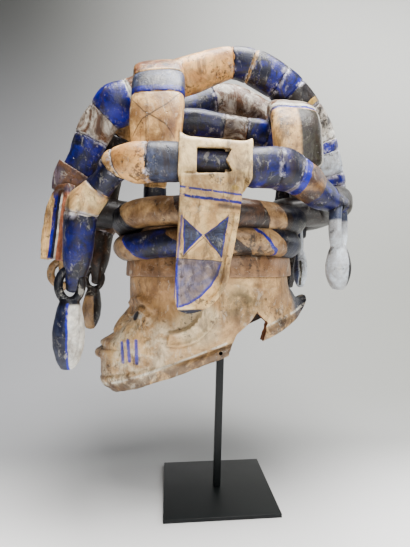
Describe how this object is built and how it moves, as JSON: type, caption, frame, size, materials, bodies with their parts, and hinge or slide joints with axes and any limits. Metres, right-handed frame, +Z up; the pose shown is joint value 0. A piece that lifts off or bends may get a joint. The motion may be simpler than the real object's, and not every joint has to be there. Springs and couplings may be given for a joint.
{
  "type": "gelede mask",
  "caption": "Carved and painted wooden gelede helmet mask with an openwork crown of crossing bands, hanging sheaths and ringed drops, on a plate-and-rod display stand.",
  "frame": {"origin": "centre of the display plate's underside", "axes": "+Z up along the stand, -Y the way the face looks, +X the mask's own left side"},
  "size_m": [0.3317, 0.4011, 0.5976],
  "materials": {
    "painted_wood": "satin",
    "stand_steel": "satin"
  },
  "bodies": {
    "root": {"mask": "painted_wood", "pendant_front_left": "painted_wood", "pendant_front_middle": "painted_wood", "pendant_front_right": "painted_wood", "pendant_back_left": "painted_wood", "pendant_back_right": "painted_wood", "sheath_left": "painted_wood", "sheath_right": "painted_wood", "sheath_front": "painted_wood", "stand_rod": "stand_steel", "stand_plate": "stand_steel"}
  },
  "joints": []
}
